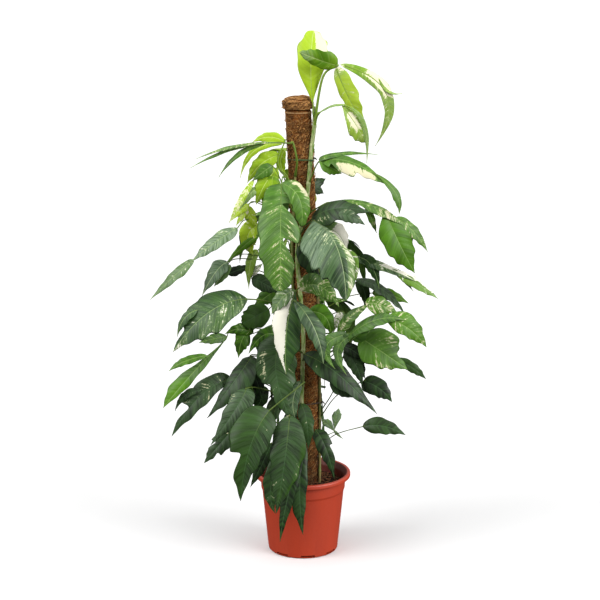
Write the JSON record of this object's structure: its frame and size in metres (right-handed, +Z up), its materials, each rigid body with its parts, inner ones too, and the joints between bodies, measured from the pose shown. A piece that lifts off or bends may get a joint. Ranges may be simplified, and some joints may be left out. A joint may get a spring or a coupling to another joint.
{
  "type": "potted variegated epipremnum pinnatum",
  "caption": "Climbing aroid with lobed green and cream variegated leaves, trained up a coir pole in a round tapered nursery pot of soil.",
  "frame": {"origin": "middle of the pot's flat underside, where the plant stands", "axes": "+Z up along the pole, -Y to the front of the plant as pictured, +X to the viewer's right"},
  "size_m": [0.6895, 0.4301, 1.3067],
  "materials": {
    "pot_plastic": "satin",
    "potting_soil": "matte",
    "coir": "matte",
    "thread": "matte",
    "climbing_stem": "satin",
    "tie_green": "matte",
    "tie_brown": "matte",
    "leaf_lime": "satin",
    "leaf_dark": "satin",
    "leaf_mid": "satin",
    "leaf_pale": "satin"
  },
  "bodies": {
    "root": {"pot": "pot_plastic", "potting_soil": "potting_soil", "coir_pole": "coir", "coir_cap": "coir", "binding_thread": "thread", "tie_high": "tie_green", "tie_low": "tie_brown", "stem_front": "climbing_stem", "stem_right": "climbing_stem", "stem_left": "climbing_stem", "stem_back": "climbing_stem", "leaf_crown": "leaf_lime", "leaf_left_lime": "leaf_lime", "leaf_left_bright": "leaf_lime", "leaf_left_cream": "leaf_lime", "leaf_rear_8": "leaf_lime", "leaf_top_fan": "leaf_mid", "leaf_sash": "leaf_mid", "leaf_wing": "leaf_mid", "leaf_left_fingers": "leaf_mid", "leaf_right_great": "leaf_mid", "leaf_front_great": "leaf_mid", "leaf_front_small": "leaf_mid", "leaf_right_band": "leaf_mid", "leaf_right_arc": "leaf_mid", "leaf_right_forked": "leaf_mid", "leaf_right_oval": "leaf_mid", "leaf_left_split": "leaf_mid", "leaf_left_star": "leaf_mid", "leaf_rear_4": "leaf_mid", "leaf_rear_5": "leaf_mid", "leaf_rear_6": "leaf_mid", "leaf_rear_7": "leaf_mid", "leaf_left_long": "leaf_pale", "leaf_right_long": "leaf_pale", "leaf_left_great": "leaf_pale", "leaf_white_half": "leaf_pale", "leaf_low_right_pale": "leaf_pale", "leaf_right_arch": "leaf_dark", "leaf_central": "leaf_dark", "leaf_left_grey": "leaf_dark", "leaf_right_edge": "leaf_dark", "leaf_left_round": "leaf_dark", "leaf_front_strap": "leaf_dark", "leaf_low_right_round": "leaf_dark", "leaf_low_right_wide": "leaf_dark", "leaf_far_right": "leaf_dark", "leaf_low_right_droop": "leaf_dark", "leaf_low_front_great": "leaf_dark", "leaf_low_left_dark": "leaf_dark", "leaf_low_left_far": "leaf_dark", "leaf_low_left_grey": "leaf_dark", "leaf_low_left_lobed": "leaf_dark", "leaf_low_left_great": "leaf_dark", "leaf_low_front_long": "leaf_dark", "leaf_low_front_right": "leaf_dark", "leaf_lowest": "leaf_dark", "leaf_rear_1": "leaf_dark", "leaf_rear_2": "leaf_dark", "leaf_rear_3": "leaf_dark"}
  },
  "joints": []
}
